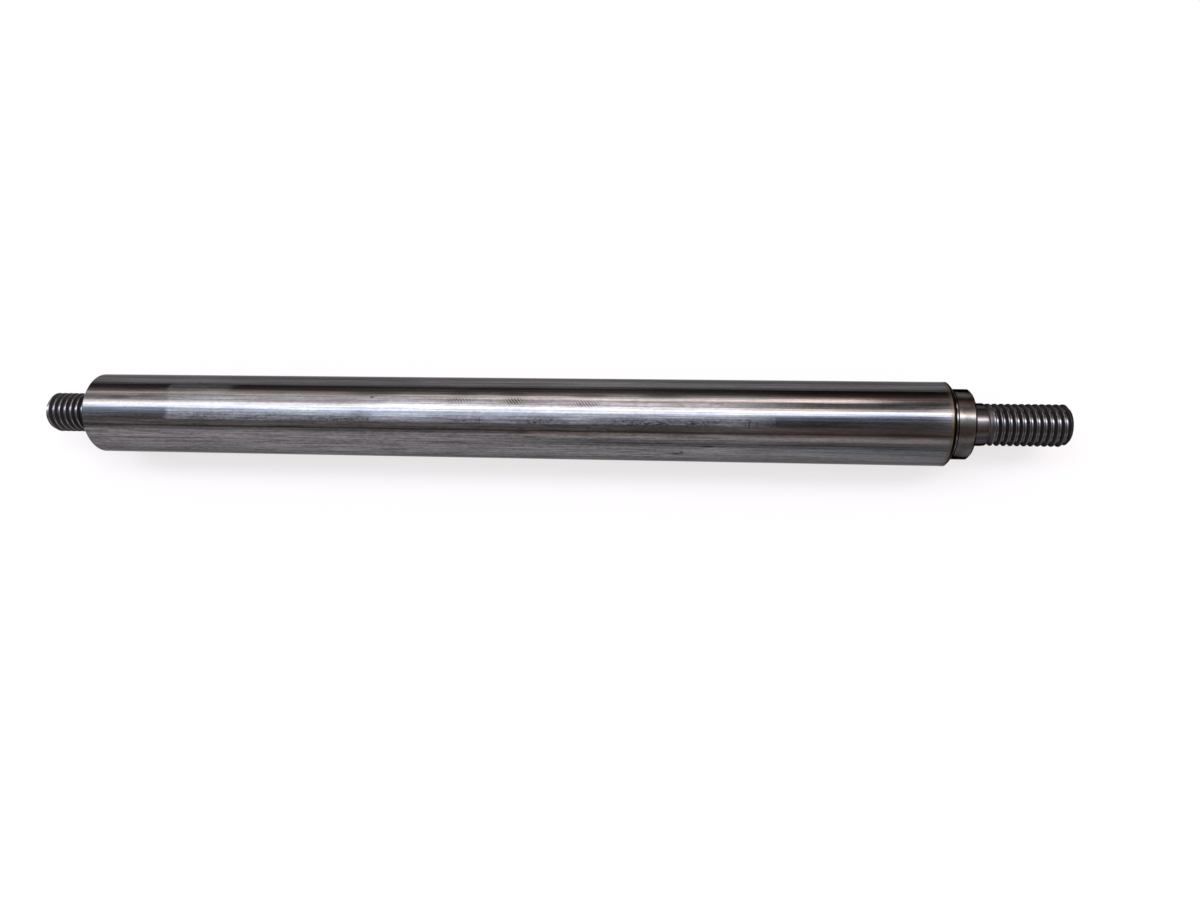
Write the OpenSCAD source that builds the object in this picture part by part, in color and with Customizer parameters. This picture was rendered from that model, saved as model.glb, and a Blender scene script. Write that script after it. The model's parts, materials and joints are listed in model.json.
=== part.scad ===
// Turned and ground steel shaft, one piece, lying along X.
// The barrel is ground between two shoulders. The end toward +X steps down through a locating
// collar and a plain neck to a long stud; the end toward -X has a short stud right on its shoulder.
// The origin is on the shaft's axis, halfway along the barrel.
// Lengths in millimetres. The studs are the blanks on which 1/2-13 UNC threads are cut.

/* [Barrel] */
// Diameter of the ground barrel, 1 in
barrel_d = 25.4; // [24:0.1:50]
// Length of the barrel from shoulder to shoulder, 10 9/16 in
barrel_l = 268.3; // [60:0.1:600]
// Bevel that breaks the two edges of the barrel
barrel_bevel = 0.6; // [0.2:0.1:1]

/* [Collar] */
// Diameter of the locating collar
collar_d = 21.2; // [18:0.1:23]
// Length of the collar from the barrel's shoulder to its own face, 1/4 in
collar_l = 6.3; // [4:0.1:40]
// Bevel at the outer edge of the collar's face
collar_bevel = 0.6; // [0.2:0.1:1]
// Width of the grinding relief cut beside the barrel's shoulder
relief_w = 1.2; // [0.6:0.1:2]
// Depth of the grinding relief below the collar's surface
relief_depth = 0.5; // [0.2:0.05:0.9]

/* [Neck] */
// Diameter of the plain neck between the collar and the long stud
neck_d = 12.9; // [12.7:0.1:15]
// Length of the neck from the collar's face to the first thread
neck_l = 4.2; // [2:0.1:20]
// Radius of the fillet between the neck and the collar's face
neck_fillet = 0.4; // [0.2:0.1:1]

/* [Studs] */
// Major diameter of the thread on both studs, 1/2 in
stud_d = 12.7; // [8:0.1:12.7]
// Length of the short stud from the barrel's shoulder, 11/16 in
short_stud_l = 17.5; // [8:0.1:60]
// Length of the long stud from the collar's face, neck included, 1 1/8 in
long_stud_l = 28.6; // [24:0.1:90]
// Chamfer at the free end of each stud
stud_chamfer = 1.1; // [0.4:0.1:1.5]
// Radius of the fillet between the short stud and its shoulder
stud_fillet = 0.3; // [0.2:0.1:0.8]

/* [Centre holes] */
// Diameter of the pilot drilling in each end
pilot_d = 2; // [1.5:0.1:2.5]
// Depth of the pilot drilling from the end face
pilot_depth = 4; // [3.5:0.1:6]
// Mouth diameter of the 60 degree countersink
centre_d = 4.2; // [3.5:0.1:5]

/* [Hidden] */
$fn = 96;

// Stations along the axis, measured from the middle of the barrel
shoulder_x = barrel_l / 2;
collar_face_x = shoulder_x + collar_l;
neck_end_x = collar_face_x + neck_l;
long_end_x = collar_face_x + long_stud_l;
short_end_x = -shoulder_x - short_stud_l;

// Depth at which the 60 degree countersink has narrowed to the pilot drilling,
// and the length of the cone that the drill's 118 degree point leaves
countersink_depth = (centre_d - pilot_d) / 2 / tan(30);
drill_point = pilot_d / 2 / tan(59);

// How far the solids run into each other, so that they fuse without a seam
overlap = 0.5;

// Half section of a turned length from x0 to x1, with a bevel at either end.
// Across the page is the radius, up the page is the shaft's axis.
module turned(d, x0, x1, bevel0 = 0, bevel1 = 0) {
    r = d / 2;
    polygon([
        [0, x0],
        if (bevel0 > 0) [r - bevel0, x0],
        [r, x0 + bevel0],
        [r, x1 - bevel1],
        if (bevel1 > 0) [r - bevel1, x1],
        [0, x1],
    ]);
}

// Concave fillet in the corner between a cylinder of diameter d and a face at x.
// side is 1 where the cylinder leaves the face toward +X, and -1 where it leaves toward -X.
module corner_fillet(d, x, radius, side) {
    corner_x = x + side * radius;
    difference() {
        translate([d / 2 - overlap, min(x - side * overlap, corner_x)])
            square([radius + overlap, radius + overlap]);
        translate([d / 2 + radius, corner_x]) circle(r = radius);
    }
}

// Half section of the relief groove: straight sides, and a bottom with rounded corners
module relief_section() {
    bottom_r = relief_depth / 2;
    floor_r = collar_d / 2 - relief_depth;
    translate([floor_r + bottom_r, shoulder_x]) square([relief_depth, relief_w]);
    translate([floor_r, shoulder_x + bottom_r]) square([relief_depth, relief_w - 2 * bottom_r]);
    for (x = [shoulder_x + bottom_r, shoulder_x + relief_w - bottom_r])
        translate([floor_r + bottom_r, x]) circle(r = bottom_r);
}

// Half section of the whole shaft
module shaft_section() {
    turned(barrel_d, -shoulder_x, shoulder_x, barrel_bevel, barrel_bevel);
    difference() {
        turned(collar_d, shoulder_x - overlap, collar_face_x, 0, collar_bevel);
        relief_section();
    }
    turned(neck_d, collar_face_x - overlap, neck_end_x, 0, (neck_d - stud_d) / 2);
    corner_fillet(neck_d, collar_face_x, neck_fillet, 1);
    turned(stud_d, neck_end_x - overlap, long_end_x, 0, stud_chamfer);
    turned(stud_d, short_end_x, overlap - shoulder_x, stud_chamfer, 0);
    corner_fillet(stud_d, -shoulder_x, stud_fillet, -1);
}

// Half section of the centre hole in the end face at x, cut toward side
module centre_hole_section(x, side) {
    mirror_y = side < 0 ? 1 : 0;
    translate([0, x]) mirror([0, mirror_y]) polygon([
        [0, -overlap], [centre_d / 2, -overlap], [centre_d / 2, 0],
        [pilot_d / 2, countersink_depth], [pilot_d / 2, pilot_depth],
        [0, pilot_depth + drill_point],
    ]);
}

module shaft() {
    color("slategray")
    rotate([0, 90, 0])
    rotate_extrude() difference() {
        shaft_section();
        centre_hole_section(short_end_x, 1);
        centre_hole_section(long_end_x, -1);
    }
}

shaft();
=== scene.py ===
"""Turned and ground steel shaft with two threaded studs, lying on a pale floor under soft strip lights."""
import json
from functools import reduce
from math import cos, pi, radians, sin, tan

import bpy
from mathutils import Euler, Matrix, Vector


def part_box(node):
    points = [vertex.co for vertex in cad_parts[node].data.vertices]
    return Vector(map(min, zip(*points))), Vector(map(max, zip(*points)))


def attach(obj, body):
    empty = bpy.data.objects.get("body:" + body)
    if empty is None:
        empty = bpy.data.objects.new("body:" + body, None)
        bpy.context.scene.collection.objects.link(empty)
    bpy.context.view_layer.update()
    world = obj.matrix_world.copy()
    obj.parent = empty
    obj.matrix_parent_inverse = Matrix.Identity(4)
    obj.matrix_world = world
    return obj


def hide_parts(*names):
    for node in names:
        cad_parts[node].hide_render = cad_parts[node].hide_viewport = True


MM = 0.001

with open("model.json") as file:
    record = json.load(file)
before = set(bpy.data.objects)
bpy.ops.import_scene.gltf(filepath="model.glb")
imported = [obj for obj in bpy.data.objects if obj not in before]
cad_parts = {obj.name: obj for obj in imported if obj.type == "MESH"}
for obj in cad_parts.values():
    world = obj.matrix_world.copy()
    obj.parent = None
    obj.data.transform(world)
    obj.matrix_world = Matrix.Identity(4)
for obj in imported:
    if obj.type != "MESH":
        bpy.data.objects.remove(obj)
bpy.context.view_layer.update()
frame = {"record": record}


# Sizes of the shaft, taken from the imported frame

MOUNTS = {m["name"]: m for m in frame["record"]["mounts"]}


def mount_radius(name):
    """Radius of one of the shaft's mounts."""
    return MOUNTS[name]["dims"]["r_mm"] * MM


def mount_x(name):
    """Place of one of the shaft's mounts along X."""
    return MOUNTS[name]["pos_m"][0]


LOW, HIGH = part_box("shaft")
SHORT_END, LONG_END = LOW[0], HIGH[0]
BARREL_R = mount_radius("barrel")
COLLAR_R = mount_radius("collar")
STUD_R = mount_radius("long_stud")
SHORT_SHOULDER = mount_x("short_shoulder")
BARREL_SHOULDER = -SHORT_SHOULDER
COLLAR_FACE = mount_x("collar_face")

# Small features, as the solid has them
EDGE_BEVEL = 0.6 * MM
RELIEF_WIDTH = 1.2 * MM
RELIEF_DEPTH = 0.5 * MM
NECK_R = 6.45 * MM
NECK_LENGTH = 4.2 * MM
NECK_FILLET = 0.4 * MM
STUD_FILLET = 0.3 * MM
STUD_CHAMFER = 1.1 * MM
PILOT_R = 1.0 * MM
PILOT_DEPTH = 4.0 * MM
CENTRE_R = 2.1 * MM

# Half angles of the centre hole's countersink and of its drill's point
COUNTERSINK_ANGLE = radians(30)
DRILL_ANGLE = radians(59)

# 1/2-13 UNC right-hand thread, with the place of one root's middle on each stud, level with the top
PITCH = 25.4 * MM / 13
THREAD_DEPTH = 5 / 8 * PITCH * cos(radians(30))
LONG_ROOT_X = 149.735 * MM
SHORT_ROOT_X = -141.3 * MM

# Where each thread's groove has run out, and how far from there it has its full depth
LONG_RUNOUT_X = 144.9 * MM
SHORT_RUNOUT_X = SHORT_SHOULDER - 0.9 * MM
LONG_FADE_LENGTH = 1.4 * PITCH
SHORT_FADE_LENGTH = PITCH
SHORT_FADE_POWER = 0.8

# Form of the thread. The flats end and start at these shares of a pitch from the middle of the root,
# and the corners are rounded by these shares of the depth.
ROOT_FLAT_END = 0.125
CREST_START = 0.4375
CREST_ROUNDING = 0.06
ROOT_ROUNDING = 1.6 * CREST_ROUNDING

# Turns by which the thread's rows reach past either end, where they are held at it
SPARE_TURNS = 3

# Rows across one pitch, as shares of it from the middle of the root to the middle of the crest
HALF_ROWS = (0.0, 0.05, 0.1, 0.145, 0.2, 0.27, 0.34, 0.395, 0.43, 0.465)
ROWS = HALF_ROWS + (0.5,) + tuple(1 - w for w in reversed(HALF_ROWS[1:]))

# Fineness of the mesh: steps round the axis, steps of a fillet and their angles
SEGMENTS = 144
FILLET_STEPS = 6
QUARTER_TURN = [pi / 2 * i / FILLET_STEPS for i in range(FILLET_STEPS + 1)]
# Edges that turn by more than this are sharp
SHARP_ANGLE = radians(32)
# Points are told apart to this many steps in a metre
POINT_SCALE = 1e7


def soften(value, width):
    """value where it is above 0 and 0 below, with a round corner of the given width."""
    if value > width:
        return value
    if value < -width:
        return 0.0
    return (value + width) ** 2 / (4 * width)


def thread_cut(w):
    """Depth of the thread's groove, from 0 at the crest to 1 at the root, w pitches from a root."""
    w = abs((w + 0.5) % 1 - 0.5)
    flank = (CREST_START - w) / (CREST_START - ROOT_FLAT_END)
    return 1 - soften(1 - soften(flank, CREST_ROUNDING), ROOT_ROUNDING)


def link_object(name, data):
    """Makes an object of a mesh or of a camera's data and links it into the scene."""
    linked = bpy.data.objects.new(name, data)
    bpy.context.scene.collection.objects.link(linked)
    return linked


class Skin:
    """Collects rings of points round the X axis and joins them into one closed mesh."""

    def __init__(self):
        self.points = []
        self.index = {}
        self.faces = []
        self.slots = []

    def point(self, x, r, step):
        """Number of the point at x and radius r, which is added unless it is there already."""
        step %= SEGMENTS
        if r < 1 / POINT_SCALE:
            step, r = 0, 0.0
        key = (step, round(x * POINT_SCALE), round(r * POINT_SCALE))
        if key not in self.index:
            angle = 2 * pi * step / SEGMENTS
            self.index[key] = len(self.points)
            self.points.append((x, -r * sin(angle), r * cos(angle)))
        return self.index[key]

    def face(self, corners, slot):
        """Adds a face, unless so many of its corners fall together that nothing is left of it."""
        kept = [c for i, c in enumerate(corners) if c != corners[i - 1]]
        if len(set(kept)) > 2:
            self.faces.append(kept)
            self.slots.append(slot)

    def strip(self, first, second, slot):
        """Joins two rows of points. first and second give (x, r) for a step round the axis."""
        for step in range(SEGMENTS):
            a, b = self.point(*first(step), step), self.point(*first(step + 1), step + 1)
            c, d = self.point(*second(step + 1), step + 1), self.point(*second(step), step)
            self.face([a, b, c, d], slot)

    def turned(self, section, slot):
        """Revolves a list of (x, r) points."""
        for here, there in zip(section, section[1:]):
            self.strip(lambda step: here, lambda step: there, slot)

    def threaded(self, start, end, root_x, envelope, fade, slot):
        """Skin of a thread from start to end, along rows that follow its helix."""
        first_turn = int((start - root_x) / PITCH) - SPARE_TURNS
        last_turn = int((end - root_x) / PITCH) + SPARE_TURNS
        rows = [turn + w for turn in range(first_turn, last_turn) for w in ROWS]

        def row_point(offset):
            def at(step):
                turn = step / SEGMENTS
                x = min(max(root_x + (offset + turn) * PITCH, start), end)
                groove = round(offset) + turn
                cut = THREAD_DEPTH * thread_cut(offset) * fade(root_x + groove * PITCH)
                return x, min(STUD_R - cut, envelope(x))
            return at

        for here, there in zip(rows, rows[1:]):
            self.strip(row_point(here), row_point(there), slot)

    def build(self, name, materials):
        """Makes the mesh and its object, with one material to a slot."""
        mesh = bpy.data.meshes.new(name)
        mesh.from_pydata(self.points, [], self.faces)
        for material in materials:
            mesh.materials.append(material)
        mesh.polygons.foreach_set("material_index", self.slots)
        mesh.polygons.foreach_set("use_smooth", [True] * len(self.faces))
        mesh.update()
        mesh.set_sharp_from_angle(angle=SHARP_ANGLE)
        return link_object(name, mesh)


def fillet(x, r, radius, side):
    """Points of the concave fillet between a face at x and a cylinder of radius r on its side."""
    centre_x, centre_r = x + side * radius, r + radius
    return [(centre_x - side * radius * cos(a), centre_r - radius * sin(a)) for a in QUARTER_TURN]


def relief_groove():
    """Points of the relief groove, from the barrel's shoulder to the collar."""
    floor_r = COLLAR_R - RELIEF_DEPTH
    corner = RELIEF_DEPTH / 2
    start, end = BARREL_SHOULDER, BARREL_SHOULDER + RELIEF_WIDTH
    near = [(start + corner * (1 - cos(a)), floor_r + corner * (1 - sin(a))) for a in QUARTER_TURN]
    far = [(end - corner * (1 - sin(a)), floor_r + corner * (1 - cos(a))) for a in QUARTER_TURN]
    return near + far + [(end, COLLAR_R)]


def centre_hole(x, side):
    """Points of the centre hole in the end face at x, from the shaft's axis out to the face."""
    cone = (CENTRE_R - PILOT_R) / tan(COUNTERSINK_ANGLE)
    tip = PILOT_R / tan(DRILL_ANGLE)
    return [
        (x + side * (PILOT_DEPTH + tip), 0.0),
        (x + side * PILOT_DEPTH, PILOT_R),
        (x + side * cone, PILOT_R),
        (x, CENTRE_R),
    ]


# Radius that each stud's chamfer leaves at x

def long_envelope(x):
    return min(STUD_R, STUD_R - STUD_CHAMFER + LONG_END - x)


def short_envelope(x):
    return min(STUD_R, STUD_R - STUD_CHAMFER + x - SHORT_END)


# Share of its full depth that each thread's groove has at x

def long_fade(x):
    return min(max((x - LONG_RUNOUT_X) / LONG_FADE_LENGTH, 0.0), 1.0)


def short_fade(x):
    return min(max((SHORT_RUNOUT_X - x) / SHORT_FADE_LENGTH, 0.0), 1.0) ** SHORT_FADE_POWER


# Slots of the shaft's mesh
GROUND, TURNED, THREAD = range(3)


def build_shaft(materials):
    """The whole shaft as one closed skin, from the short stud's centre hole to the long stud's."""
    skin = Skin()
    neck_end = COLLAR_FACE + NECK_LENGTH
    neck_step = NECK_R - STUD_R
    end_r = STUD_R - STUD_CHAMFER
    thread_stop = SHORT_SHOULDER - STUD_FILLET

    skin.turned(centre_hole(SHORT_END, 1) + [(SHORT_END, end_r)], TURNED)
    skin.threaded(SHORT_END, thread_stop, SHORT_ROOT_X, short_envelope, short_fade, THREAD)
    skin.turned(list(reversed(fillet(SHORT_SHOULDER, STUD_R, STUD_FILLET, -1))), TURNED)
    skin.turned([
        (SHORT_SHOULDER, STUD_R + STUD_FILLET),
        (SHORT_SHOULDER, BARREL_R - EDGE_BEVEL),
    ], TURNED)
    skin.turned([
        (SHORT_SHOULDER, BARREL_R - EDGE_BEVEL),
        (SHORT_SHOULDER + EDGE_BEVEL, BARREL_R),
        (BARREL_SHOULDER - EDGE_BEVEL, BARREL_R),
        (BARREL_SHOULDER, BARREL_R - EDGE_BEVEL),
    ], GROUND)
    skin.turned([(BARREL_SHOULDER, BARREL_R - EDGE_BEVEL)] + relief_groove(), TURNED)
    skin.turned([
        (BARREL_SHOULDER + RELIEF_WIDTH, COLLAR_R),
        (COLLAR_FACE - EDGE_BEVEL, COLLAR_R),
        (COLLAR_FACE, COLLAR_R - EDGE_BEVEL),
        (COLLAR_FACE, NECK_R + NECK_FILLET),
    ], TURNED)
    skin.turned(fillet(COLLAR_FACE, NECK_R, NECK_FILLET, 1) + [
        (neck_end - neck_step, NECK_R),
        (neck_end, STUD_R),
    ], TURNED)
    skin.threaded(neck_end, LONG_END, LONG_ROOT_X, long_envelope, long_fade, THREAD)
    skin.turned([(LONG_END, end_r)] + list(reversed(centre_hole(LONG_END, -1))), TURNED)
    return skin.build("shaft_steel", materials)


# Nodes of the materials and of the light

class Nodes:
    """Short names for adding and joining the nodes of a material or of the world."""

    def __init__(self, owner):
        owner.use_nodes = True
        self.owner = owner
        self.tree = owner.node_tree
        self.tree.nodes.clear()

    def add(self, kind, inputs=None, **settings):
        node = self.tree.nodes.new(kind)
        for key, value in settings.items():
            setattr(node, key, value)
        for key, value in (inputs or {}).items():
            self.put(node.inputs[key], value)
        return node

    def put(self, socket, value):
        if hasattr(value, "is_output"):
            self.tree.links.new(value, socket)
        else:
            socket.default_value = value

    def math(self, operation, a, b=0.0, c=0.0, clamp=False):
        node = self.add("ShaderNodeMath", operation=operation, use_clamp=clamp)
        for socket, value in zip(node.inputs, (a, b, c)):
            self.put(socket, value)
        return node.outputs[0]

    def product(self, *values):
        return reduce(lambda a, b: self.math("MULTIPLY", a, b), values)

    def largest(self, *values):
        return reduce(lambda a, b: self.math("MAXIMUM", a, b), values)

    def minus(self, a, b):
        return self.math("SUBTRACT", a, b)

    def line(self, value, slope, base):
        """value times slope, plus base."""
        return self.math("MULTIPLY_ADD", value, slope, base)

    def distance(self, a, b):
        """Length of the vector (a, b)."""
        return self.math("SQRT", self.math("ADD", self.product(a, a), self.product(b, b)))

    def angle(self, y, z):
        """Angle round the X axis from straight up, toward -Y."""
        return self.math("ARCTAN2", self.product(y, -1.0), z)

    def remap(self, value, low, high, to_low=0.0, to_high=1.0, smooth=True):
        node = self.add("ShaderNodeMapRange", {0: value, 1: low, 2: high, 3: to_low, 4: to_high})
        node.interpolation_type = "SMOOTHSTEP" if smooth else "LINEAR"
        return node.outputs[0]

    def along(self, x, start, end, *levels, smooth=True):
        """Fade between two places along X, given in mm."""
        return self.remap(x, start * MM, end * MM, *levels, smooth=smooth)

    def around(self, angle, start, end, *levels):
        """Fade between two angles round the X axis, given in degrees."""
        return self.remap(angle, radians(start), radians(end), *levels)

    def mix(self, factor, a, b):
        node = self.add("ShaderNodeMix", {0: factor}, data_type="RGBA")
        self.put(node.inputs["A"], a)
        self.put(node.inputs["B"], b)
        return node.outputs["Result"]

    def mix_shaders(self, factor, a, b):
        return self.add("ShaderNodeMixShader", {0: factor, 1: a, 2: b}).outputs[0]

    def place(self):
        """Position in the shaft's frame, and its X, Y and Z."""
        at = self.add("ShaderNodeTexCoord").outputs["Object"]
        split = self.add("ShaderNodeSeparateXYZ", {0: at})
        return at, split.outputs[0], split.outputs[1], split.outputs[2]

    def noise(self, at, along, across, detail, roughness):
        """Noise with so many features to the metre along X and across it."""
        moved = self.add("ShaderNodeMapping", {"Vector": at, "Scale": (along, across, across)})
        return self.add("ShaderNodeTexNoise", {
            "Vector": moved.outputs[0], "Scale": 1.0, "Detail": detail, "Roughness": roughness,
        }).outputs["Fac"]

    def bump(self, height, strength, distance):
        inputs = {"Height": height, "Strength": strength, "Distance": distance}
        return self.add("ShaderNodeBump", inputs).outputs[0]

    def steel(self, colour, roughness, normal, edge):
        """Metal of the given colour. edge is how much of its glare it keeps where seen edge on."""
        return self.add("ShaderNodeBsdfPrincipled", {
            "Base Color": colour, "Metallic": 1.0, "Roughness": roughness, "Normal": normal,
            "Specular Tint": (edge, edge, edge, 1),
        }).outputs[0]

    def background(self, colour, strength=1.0):
        return self.add("ShaderNodeBackground", {0: colour, 1: strength}).outputs[0]

    def surface(self, shader):
        self.add("ShaderNodeOutputMaterial", {0: shader})
        return self.owner


def new_material(name):
    return Nodes(bpy.data.materials.new(name))


# Noises of the steel: (features to the metre along X, the same across X, detail, roughness)
CLOUD = (26, 140, 4, 0.6)
GRAIN = (500, 1500, 4, 0.8)
STREAK = (14, 2300, 5, 0.7)
SCRATCH = (48, 2300, 5, 0.7)
SPECK = (900, 2000, 3, 0.7)
RINGS = (3400, 1, 3, 0.6)
BLOTCH = (260, 260, 4, 0.6)
DIRT = (700, 700, 4, 0.65)

# Bumps: (strength, depth)
STREAK_BUMP = (0.3, 0.03 * MM)
RINGS_BUMP = (0.25, 0.012 * MM)
DIRT_BUMP = (0.2, 0.01 * MM)

# Colours of the barrel: (dark, light) of its lines where it is polished and where the bloom dulls it,
# then the colour of its stains and of its painted dark reflections, the straw-coloured rim beside the
# relief groove and the painted shade at the edge beyond that
POLISH_TONES = ((0.075, 0.072, 0.074, 1), (0.19, 0.184, 0.19, 1))
BLOOM_TONES = ((0.2, 0.197, 0.205, 1), (0.42, 0.416, 0.432, 1))
STAIN_AND_REFLECTION = (0.02, 0.017, 0.016, 1)
STRAW_RIM = (0.1, 0.08, 0.052, 1)
SHADED_EDGE = (0.008, 0.006, 0.005, 1)

# Colours of the collar and the faces, and of the neck, (dark, light), then the painted shade in the relief
# groove
TURNED_TONES = ((0.085, 0.079, 0.074, 1), (0.14, 0.13, 0.125, 1))
NECK_TONES = ((0.062, 0.057, 0.06, 1), (0.108, 0.1, 0.105, 1))
RELIEF_SHADE = (0.008, 0.007, 0.007, 1)

# Colours of the threads: their flanks, darkened as painted shade, their crests and roots on either stud,
# lighter by wear on the crests and as painted highlight on both, the short stud's more so for its brighter
# highlights, and the blank where the long stud's thread runs out
SHADED_FLANK = (0.05, 0.047, 0.049, 1)
SHORT_WORN_SHEEN = (0.235, 0.225, 0.235, 1)
LONG_WORN_SHEEN = (0.15, 0.144, 0.15, 1)
RUNOUT_BLANK = (0.074, 0.068, 0.071, 1)

# Roughness. The turned steel's and the threads' are (slope, base) by their blotches and dirt.
POLISH_ROUGH, BLOOM_ROUGH, RIM_ROUGH = 0.09, 0.42, 0.35
TURNED_ROUGH = (0.14, 0.1)
THREAD_ROUGH = (0.12, 0.42)
# How much smoother the threads are on their worn crests and on their roots, and on the blank
WORN_SHINE, BLANK_SHINE = 0.32, 0.09

# How much of its glare each steel keeps where it is seen edge on
BARREL_GLARE, TURNED_GLARE, THREAD_GLARE = 0.42, 0.1, 0.15

# Marks on the barrel: (place along X in mm, angle from the top toward -Y in degrees,
# half length and half width in mm, strength). The five long ones near -34 degrees are painted dark
# reflections.
MARKS = (
    (-39.6, -27.7, 0.9, 0.35, 0.9),
    (-5.6, 3.4, 0.4, 1.2, 0.5),
    (7.1, 17.5, 2.0, 1.0, 0.5),
    (9.8, 26.2, 2.2, 0.5, 0.35),
    (53.6, 52.1, 2.2, 0.6, 0.8),
    (55.4, 50.0, 0.7, 1.0, 0.7),
    (63.2, 37.1, 2.6, 0.4, 0.8),
    (45.3, 62.4, 2.4, 0.4, 0.7),
    (48.0, 56.5, 1.3, 0.3, 0.6),
    (75.0, 4.2, 0.25, 1.5, 0.8),
    (77.3, 4.0, 0.2, 1.2, 0.6),
    (-39.5, -34.0, 10.0, 0.9, 0.5),
    (-11.4, -34.0, 6.0, 0.8, 0.4),
    (4.4, -34.0, 6.0, 0.9, 0.5),
    (27.5, -33.5, 7.0, 0.9, 0.5),
    (49.6, -34.0, 9.0, 0.8, 0.5),
    (-122.0, -24.0, 5.0, 0.8, 0.45),
    (-113.0, -26.0, 4.0, 0.6, 0.35),
    (115.0, -24.5, 4.0, 0.8, 0.3),
    (-43.0, -2.0, 4.0, 1.6, 0.3),
    (-62.0, 4.0, 9.0, 0.8, 0.35),
)
# Patches of fine slanting stripes, in the same form
CHATTER = (
    (-12.2, -24.5, 4.6, 0.9, 0.8),
    (5.0, -24.0, 3.8, 1.3, 1.0),
    (26.5, -21.0, 5.2, 1.0, 0.8),
)
# From stripe to stripe along X, how far a stripe runs along X for its way round the barrel, and the
# heights of a wave between which a stripe fades in
CHATTER_PITCH = 0.95 * MM
CHATTER_LEAN = -0.8
CHATTER_EDGE = (-0.2, 0.6)

# Soft edges of the marks and of the painted reflection lines, as shares of their half width: (outside,
# inside)
MARK_EDGE = (1.25, 0.35)
LINE_EDGE = (1.5, 0.2)

# Painted dark reflections, as lines along the barrel at fixed angles round it: (angle from the top toward
# -Y in degrees, half width in mm, strength toward -X, strength toward +X)
REFLECTION_LINES = (
    (16.6, 0.3, 0.45, 0.5),
    (27.9, 0.16, 0.12, 0.2),
    (33.3, 0.16, 0.0, 0.4),
    (37.2, 0.18, 0.22, 0.3),
    (44.1, 0.14, 0.2, 0.0),
    (56.2, 0.14, 0.1, 0.12),
)

# The bloom, a hazy stretch of the barrel where the polish is dulled: its ends in mm, and the angles in
# degrees between which it is dullest. The functions below give what lies near them the same units.
HAZE_START, HAZE_END = -106.0, 82.3
HAZE_TOP, HAZE_BOTTOM = -31, 7.5
# Place beyond which the upper side has next to no bloom
CLEAR_START = 128.0

# The rim at the barrel's edge beside the relief groove: its length, that of its dark part, which is
# painted shade, how softly the one passes into the other, and how much of the steel the straw colour
# covers
RIM_LENGTH = 2.4 * MM
RIM_SHADE = 1.1 * MM
RIM_BLUR = 0.2 * MM
STRAW_COVER = 0.7


def arc_from(n, angle, turn, half_width):
    """Distance round the barrel from a line along it, in half widths of the mark there."""
    return n.product(n.minus(angle, radians(turn)), BARREL_R / (half_width * MM))


def patch(n, at_x, angle, x, turn, half_length, half_width):
    """1 in the middle of an oval patch on the barrel, and 0 outside it."""
    dx = n.math("DIVIDE", n.minus(at_x, x * MM), half_length * MM)
    return n.remap(n.distance(dx, arc_from(n, angle, turn, half_width)), *MARK_EDGE)


def mark_mask(n, at_x, angle):
    """How strongly the small marks on the barrel darken a point, the painted dark reflections among them
    too.
    """
    lean = n.line(angle, CHATTER_LEAN * BARREL_R, at_x)
    stripes = n.remap(n.math("SINE", n.product(lean, 2 * pi / CHATTER_PITCH)), *CHATTER_EDGE)
    spots = [n.product(patch(n, at_x, angle, *place), strength) for *place, strength in MARKS]
    spots += [n.product(patch(n, at_x, angle, *place), strength, stripes) for *place, strength in CHATTER]
    return n.largest(*spots)


def reflection_lines(n, at_x, angle):
    """How strongly the painted dark reflection lines along the barrel darken a point."""
    toward_plus = n.along(at_x, -40, 70)
    lines = []
    for turn, half_width, minus, plus in REFLECTION_LINES:
        near = n.remap(n.math("ABSOLUTE", arc_from(n, angle, turn, half_width)), *LINE_EDGE)
        lines.append(n.product(near, n.line(toward_plus, plus - minus, minus)))
    return n.largest(*lines)


def haze_along(n, x, ragged_x, angle):
    """Where the bloom lies along the barrel. It ends softly above, and sharply further down."""
    sharp_end = n.along(x, HAZE_END + 0.6, HAZE_END - 0.6)
    soft_end = n.along(ragged_x, HAZE_END + 14, HAZE_END - 28)
    end = n.math("MINIMUM", n.largest(sharp_end, n.around(angle, -6, -11)), soft_end)
    start = n.along(ragged_x, HAZE_START - 1, HAZE_START + 1)
    return n.product(start, end, n.along(x, HAZE_START, HAZE_END, 1.0, 0.92, smooth=False))


def haze_around(n, x, ragged_x, angle):
    """Where the bloom lies round the barrel. Near its start a faint part reaches higher up."""
    top = n.around(angle, HAZE_TOP - 3, HAZE_TOP + 4, 0.1, 1.0)
    thin_top = n.largest(n.along(x, -55, -25, 0.45, 1.0), n.around(angle, -19, -9))
    faint = n.product(n.along(ragged_x, HAZE_START + 23, HAZE_START + 18), n.around(angle, -52, -46))
    return n.largest(n.product(top, thin_top), n.product(faint, 0.3))


def haze_amount(n, x, angle, cloud, grain, speck):
    """Share of the surface that the dull bloom covers."""
    ragged_x = n.line(cloud, 2 * MM, n.minus(x, MM))
    body = n.line(cloud, 0.4, n.line(grain, 0.7, 0.05))
    stretch = n.line(haze_along(n, x, ragged_x, angle), 0.9, 0.1)
    hazy = n.product(haze_around(n, x, ragged_x, angle), body, stretch)

    # Dark pepper where the bloom thins out toward its lower edge
    thin = n.product(n.around(angle, -8, 5, 0.0, 0.85), n.remap(cloud, 0.65, 0.25))
    hazy = n.product(hazy, n.minus(1.0, n.product(thin, n.remap(speck, 0.45, 0.6))))

    # Next to no bloom toward the barrel's +X end
    hazy = n.product(hazy, n.along(x, CLEAR_START - 8, CLEAR_START, 1.0, 0.3))

    # Below the bloom the polish is evenly dull, and less so toward +X
    even = n.along(x, -60, 90, 0.2, 0.08)
    below = n.around(angle, HAZE_BOTTOM - 1.5, HAZE_BOTTOM + 1)
    return n.math("ADD", n.product(hazy, n.minus(1.0, below)), n.product(even, below), clamp=True)


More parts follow.
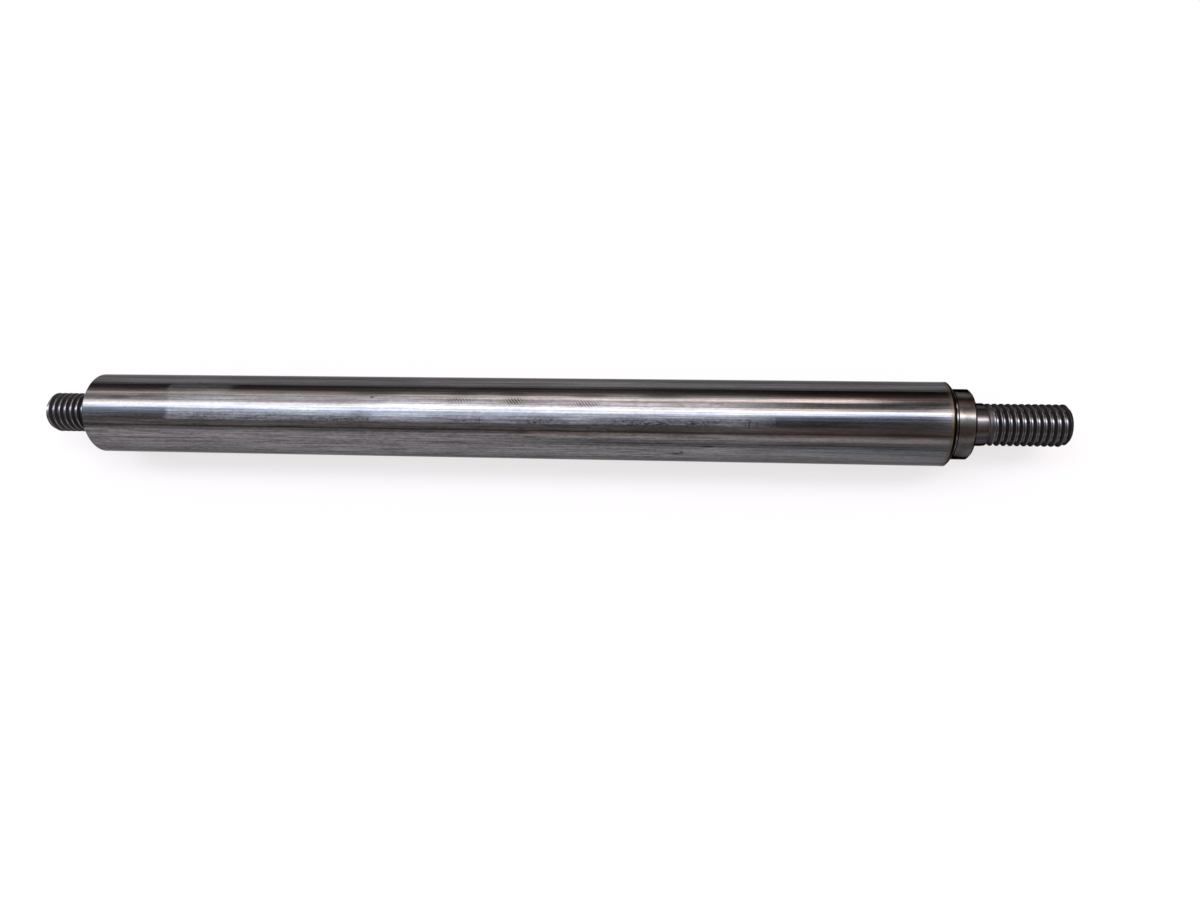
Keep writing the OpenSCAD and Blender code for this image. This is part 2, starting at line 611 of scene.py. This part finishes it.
def barrel_lines(n, x, angle, cloud, grain, streak, scratch, speck):
    """Lightness of the fine lines: long ones above, shorter scratches and a coarser grain below."""
    below = n.around(angle, -8, 10)
    drawn = n.line(scratch, below, n.product(streak, n.minus(1.0, below)))
    lines = n.product(n.remap(drawn, 0.41, 0.58), n.line(cloud, 0.4, 0.5))
    lines = n.line(n.minus(grain, 0.5), n.line(below, 1.6, 0.6), lines)
    lines = n.line(n.minus(speck, 0.38), 0.6, lines)

    # The lower side is smoother toward +X
    smooth = n.product(below, n.along(x, 40, 105, 0.0, 0.45))
    return n.line(n.minus(0.5, lines), smooth, lines)


def ground_steel():
    """The ground barrel: bright, with a dull bloom, axial scratches, small stains, painted dark
    reflections and painted shade at its edge by the relief groove.
    """
    n = new_material("ground_steel")
    at, x, y, z = n.place()
    angle = n.angle(y, z)
    cloud = n.remap(n.noise(at, *CLOUD), 0.32, 0.68)
    grain = n.noise(at, *GRAIN)
    streak = n.noise(at, *STREAK)
    scratch = n.noise(at, *SCRATCH)
    speck = n.noise(at, *SPECK)

    # Stains, chatter, painted dark reflection patches and painted reflection lines, all darkened toward
    # one colour
    marks = n.product(mark_mask(n, x, angle), n.remap(speck, 0.3, 0.5, 0.5, 1.0))
    marks = n.largest(marks, reflection_lines(n, x, angle))
    lines = barrel_lines(n, x, angle, cloud, grain, streak, scratch, speck)
    polish = n.mix(marks, n.mix(lines, *POLISH_TONES), STAIN_AND_REFLECTION)
    bloom = n.mix(marks, n.mix(lines, *BLOOM_TONES), STAIN_AND_REFLECTION)
    normal = n.bump(streak, *STREAK_BUMP)
    polished = n.steel(polish, POLISH_ROUGH, normal, BARREL_GLARE)
    dulled = n.steel(bloom, BLOOM_ROUGH, normal, BARREL_GLARE)
    face = n.mix_shaders(haze_amount(n, x, angle, cloud, grain, speck), polished, dulled)

    # The straw-coloured rim lets some of the steel through, and the painted shade at the edge none of it
    rim = n.remap(x, BARREL_SHOULDER - RIM_LENGTH, BARREL_SHOULDER - RIM_LENGTH / 2)
    # edge is where the painted shade lies, next to the relief groove
    edge = n.remap(x, BARREL_SHOULDER - RIM_SHADE, BARREL_SHOULDER - RIM_SHADE + RIM_BLUR)
    straw = n.steel(n.mix(edge, STRAW_RIM, SHADED_EDGE), RIM_ROUGH, normal, BARREL_GLARE)
    return n.surface(n.mix_shaders(n.product(rim, n.largest(edge, STRAW_COVER)), face, straw))


def turned_steel():
    """The collar, neck, faces and centre holes: duller, with the tool's fine rings."""
    n = new_material("turned_steel")
    at, x, y, z = n.place()
    radius = n.distance(y, z)
    path = n.add("ShaderNodeCombineXYZ", {0: n.math("ADD", x, radius)}).outputs[0]
    rings = n.noise(path, *RINGS)
    blotch = n.noise(at, *BLOTCH)
    steel = n.mix(n.remap(blotch, 0.4, 0.65), *TURNED_TONES)

    # Painted shade in the relief groove beside the barrel's shoulder
    in_groove = n.remap(radius, COLLAR_R - 0.02 * MM, COLLAR_R - 0.15 * MM)
    past_shoulder = n.remap(x, BARREL_SHOULDER - 0.2 * MM, BARREL_SHOULDER)
    before_end = n.remap(x, BARREL_SHOULDER + 0.55 * RELIEF_WIDTH, BARREL_SHOULDER + 0.3 * RELIEF_WIDTH)
    colour = n.mix(n.product(in_groove, past_shoulder, before_end), steel, RELIEF_SHADE)

    neck = n.remap(radius, NECK_R + 0.6 * MM, NECK_R + 0.2 * MM)
    colour = n.mix(neck, colour, n.mix(blotch, *NECK_TONES))
    normal = n.bump(rings, *RINGS_BUMP)
    return n.surface(n.steel(colour, n.line(blotch, *TURNED_ROUGH), normal, TURNED_GLARE))


def thread_steel():
    """The threads: flanks darkened as painted shade, crests lightened by wear and as painted highlight,
    roots lightened as painted highlight.
    """
    n = new_material("thread_steel")
    at, x, y, z = n.place()
    radius = n.distance(y, z)
    root_r = STUD_R - THREAD_DEPTH
    dirt = n.noise(at, *DIRT)
    # Crests are lighter by wear and as painted highlight, roots lighter as painted highlight; the flanks
    # between keep the darker colour as painted shade
    crest = n.remap(radius, STUD_R - 0.12 * MM, STUD_R - 0.02 * MM, 0.0, 0.8)
    root = n.remap(radius, root_r + 0.16 * MM, root_r + 0.04 * MM)
    worn_and_lit = n.product(n.largest(crest, root), n.remap(dirt, 0.25, 0.6, 0.6, 1.0))
    on_long = n.remap(x, 0.0, COLLAR_FACE)
    blank = n.product(n.remap(x, LONG_RUNOUT_X + 1.8 * MM, LONG_RUNOUT_X + 0.6 * MM), on_long)

    # The short stud's crests and roots are lighter, for a brighter painted highlight
    colour = n.mix(worn_and_lit, SHADED_FLANK, n.mix(on_long, SHORT_WORN_SHEEN, LONG_WORN_SHEEN))
    colour = n.mix(blank, colour, RUNOUT_BLANK)
    rough = n.minus(n.line(dirt, *THREAD_ROUGH), n.product(worn_and_lit, WORN_SHINE))
    rough = n.minus(rough, n.product(blank, BLANK_SHINE))
    return n.surface(n.steel(colour, rough, n.bump(dirt, *DIRT_BUMP), THREAD_GLARE))


# Stage: the floor, the strip lights round the X axis and the camera

# Lengths and places of the stage are in metres. The floor's edge is its end toward +Y.
FLOOR_COLOUR = (0.22, 0.214, 0.216, 1)
FLOOR_ROUGH = 0.9
FLOOR_GLOW = 0.7
FLOOR_TINT = (1.0, 0.975, 0.98, 1)
FLOOR_EDGE = 0.19
FLOOR_SIZE = 3.0
# In the steel the glow fades between two places, to a share of it: (where faded, where full, share)
GLOW_FADE_Y = (0.11, 0.07, 0.1)
GLOW_FADE_X = (0.17, 0.13, 0.45)


def floor_material():
    """A pale floor. Its glow whitens it for the camera and in the steel, and lights nothing."""
    n = new_material("floor_white")
    rays = n.add("ShaderNodeLightPath").outputs
    _, x, y, _ = n.place()
    glow = n.product(n.remap(y, *GLOW_FADE_Y), n.remap(x, *GLOW_FADE_X))
    mirrored = n.product(rays["Is Glossy Ray"], glow)
    seen = n.largest(rays["Is Camera Ray"], mirrored, rays["Is Transmission Ray"])
    return n.surface(n.add("ShaderNodeBsdfPrincipled", {
        "Base Color": FLOOR_COLOUR, "Roughness": FLOOR_ROUGH, "Specular IOR Level": 0.0,
        "Emission Color": FLOOR_TINT, "Emission Strength": n.product(seen, FLOOR_GLOW),
    }).outputs[0])


def build_floor():
    """A flat floor that touches the barrel. It stops a little beyond the shaft toward +Y."""
    mesh = bpy.data.meshes.new("floor")
    near, far, side, z = -FLOOR_SIZE, FLOOR_EDGE, FLOOR_SIZE, -BARREL_R
    corners = [(-side, near, z), (side, near, z), (side, far, z), (-side, far, z)]
    mesh.from_pydata(corners, [], [(0, 1, 2, 3)])
    mesh.materials.append(floor_material())
    link_object("floor", mesh)


# Tints of the light
NEUTRAL, PINK, SLATE = (1.0, 0.97, 0.98), (1.0, 0.93, 0.96), (0.93, 0.93, 1.0)
WARM, PEACH = (1.0, 0.9, 0.84), (1.0, 0.86, 0.74)
COOL, BLUE = (0.78, 0.87, 1.0), (0.66, 0.78, 1.0)
BROWN, RUST = (1.0, 0.8, 0.72), (1.0, 0.68, 0.6)

# Light by its angle round the X axis, in degrees from straight up toward -Y: (angle, level and tint
# of the strip's -X part, of its middle, of its +X part, and of the two parts beyond that)
LIGHT_BANDS = (
    (-180, (0.1, BROWN), (0.06, BROWN), (0.06, BROWN), (0.06, BROWN), (0.08, BROWN)),
    (-86, (0.08, BROWN), (0.06, BROWN), (0.04, RUST), (0.04, RUST), (0.12, RUST)),
    (-77, (0.3, BROWN), (0.3, BROWN), (0.2, RUST), (0.2, RUST), (0.5, RUST)),
    (-69, (1.05, WARM), (1.2, WARM), (1.0, RUST), (0.5, RUST), (0.5, RUST)),
    (-64, (2.3, WARM), (3.8, WARM), (4.4, PEACH), (0.8, PEACH), (0.4, WARM)),
    (-60, (2.0, WARM), (6.6, WARM), (10.0, WARM), (0.6, WARM), (0.42, WARM)),
    (-56, (1.5, WARM), (4.4, PEACH), (3.6, WARM), (0.1, WARM), (0.5, NEUTRAL)),
    (-52, (0.95, NEUTRAL), (1.1, PEACH), (0.4, WARM), (0.08, WARM), (0.65, NEUTRAL)),
    (-46, (1.2, NEUTRAL), (0.7, WARM), (0.25, WARM), (0.12, WARM), (1.5, NEUTRAL)),
    (-40, (2.2, NEUTRAL), (0.9, NEUTRAL), (0.8, WARM), (0.4, WARM), (3.0, WARM)),
    (-35, (4.9, NEUTRAL), (2.5, WARM), (3.2, WARM), (1.3, WARM), (7.5, WARM)),
    (-31, (8.0, NEUTRAL), (5.6, WARM), (7.0, WARM), (4.8, NEUTRAL), (11.0, WARM)),
    (-27, (9.2, COOL), (8.4, NEUTRAL), (9.5, NEUTRAL), (11.0, COOL), (14.0, NEUTRAL)),
    (-23, (9.0, COOL), (8.8, COOL), (9.2, COOL), (8.0, BLUE), (12.0, NEUTRAL)),
    (-20, (7.0, BLUE), (8.0, COOL), (7.8, BLUE), (1.6, BLUE), (6.5, COOL)),
    (-16, (3.4, BLUE), (4.4, BLUE), (1.9, BLUE), (0.2, BLUE), (4.0, COOL)),
    (-11, (1.7, BLUE), (1.6, COOL), (0.5, BLUE), (0.06, COOL), (2.7, SLATE)),
    (-4, (0.8, SLATE), (0.6, COOL), (0.2, SLATE), (0.06, SLATE), (1.7, SLATE)),
    (4, (0.55, SLATE), (0.22, SLATE), (0.06, PINK), (0.04, PINK), (1.0, PINK)),
    (12, (0.24, WARM), (0.12, SLATE), (0.07, WARM), (0.07, WARM), (0.6, WARM)),
    (20, (0.3, BROWN), (0.4, BROWN), (0.4, RUST), (0.14, RUST), (0.6, BROWN)),
    (27, (0.32, BROWN), (0.32, BROWN), (0.3, RUST), (0.12, RUST), (0.55, BROWN)),
    (34, (0.08, BROWN), (0.2, BROWN), (0.24, RUST), (0.08, RUST), (0.35, RUST)),
    (42, (0.34, PINK), (0.9, BROWN), (0.95, BROWN), (0.7, BROWN), (0.38, BROWN)),
    (50, (1.1, PINK), (1.35, PINK), (1.8, PINK), (1.5, PINK), (0.6, BROWN)),
    (58, (1.1, PINK), (0.72, SLATE), (0.4, PINK), (0.5, PINK), (0.85, PINK)),
    (67, (1.35, PINK), (0.45, SLATE), (0.25, SLATE), (0.3, SLATE), (0.5, SLATE)),
    (76, (0.95, PINK), (0.6, PINK), (0.6, SLATE), (0.45, SLATE), (0.4, SLATE)),
    (85, (1.05, PINK), (1.05, PINK), (1.1, COOL), (0.85, COOL), (0.35, SLATE)),
    (180, (1.05, PINK), (0.95, PINK), (1.1, COOL), (0.9, COOL), (0.4, SLATE)),
)
BAND_PEAK = max(level for _, *parts in LIGHT_BANDS for level, _ in parts)

# X components of the directions between which one part of the strips passes into the next, and
# between which the strips end on either side
PART_JOINS = ((-0.36, -0.06), (0.06, 0.16), (0.18, 0.24), (0.283, 0.3))
MINUS_X_END = (-0.68, -0.9)
PLUS_X_END = (0.5, 0.8)

WALL_LIGHT = (0.9, 0.87, 0.87, 1)
BACKDROP = (1.0, 0.96, 0.97, 1)


def light_ramp(n, share, part):
    """Colour ramp over the angle, given as a share of the full turn, for one part of the strips."""
    ramp = n.add("ShaderNodeValToRGB", {0: share})
    stops = ramp.color_ramp.elements
    # Where a stop starts doesn't matter, since each is moved to its own place
    while len(stops) < len(LIGHT_BANDS):
        stops.new(0.5)
    for stop, (angle, *parts) in zip(stops, LIGHT_BANDS):
        level, tint = parts[part]
        stop.position = angle / 360 + 0.5
        stop.color = tuple(level / BAND_PEAK * t for t in tint) + (1,)
    return ramp.outputs[0]


def build_light():
    """The strips along the shaft, with a wall at either end. The camera sees a pale backdrop instead."""
    world = bpy.data.worlds.new("studio")
    bpy.context.scene.world = world
    n = Nodes(world)
    at = n.add("ShaderNodeTexCoord").outputs["Generated"]
    x, y, z = n.add("ShaderNodeSeparateXYZ", {0: at}).outputs
    share = n.line(n.angle(y, z), 1 / (2 * pi), 0.5)
    bands = light_ramp(n, share, 0)
    for part, (start, end) in enumerate(PART_JOINS, 1):
        bands = n.mix(n.remap(x, start, end), bands, light_ramp(n, share, part))

    ends = n.largest(n.remap(x, *MINUS_X_END), n.remap(x, *PLUS_X_END))
    room = n.mix_shaders(ends, n.background(bands, BAND_PEAK), n.background(WALL_LIGHT))
    rays = n.add("ShaderNodeLightPath").outputs
    seen = n.largest(rays["Is Camera Ray"], rays["Is Transmission Ray"])
    n.add("ShaderNodeOutputWorld", {0: n.mix_shaders(seen, room, n.background(BACKDROP))})


CAMERA_PLACE = Vector((55.67, 0.0, 267.52)) * MM
CAMERA_TURN = Euler((radians(-1.9664), radians(5.5152), radians(0.7919)), "XYZ")
LENS = 25.755
SENSOR_WIDTH = 36.0
CLIP_START = 5 * MM


def build_camera():
    """The photo's camera, almost straight above the shaft."""
    data = bpy.data.cameras.new("camera")
    data.sensor_fit = "HORIZONTAL"
    data.sensor_width = SENSOR_WIDTH
    data.lens = LENS
    data.clip_start = CLIP_START
    camera = link_object("camera", data)
    camera.location = CAMERA_PLACE
    camera.rotation_euler = CAMERA_TURN
    bpy.context.scene.camera = camera


def main():
    shaft = build_shaft([ground_steel(), turned_steel(), thread_steel()])
    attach(shaft, "root")
    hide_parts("shaft")
    build_floor()
    build_light()
    build_camera()
    bpy.context.scene.view_settings.view_transform = "Standard"


main()
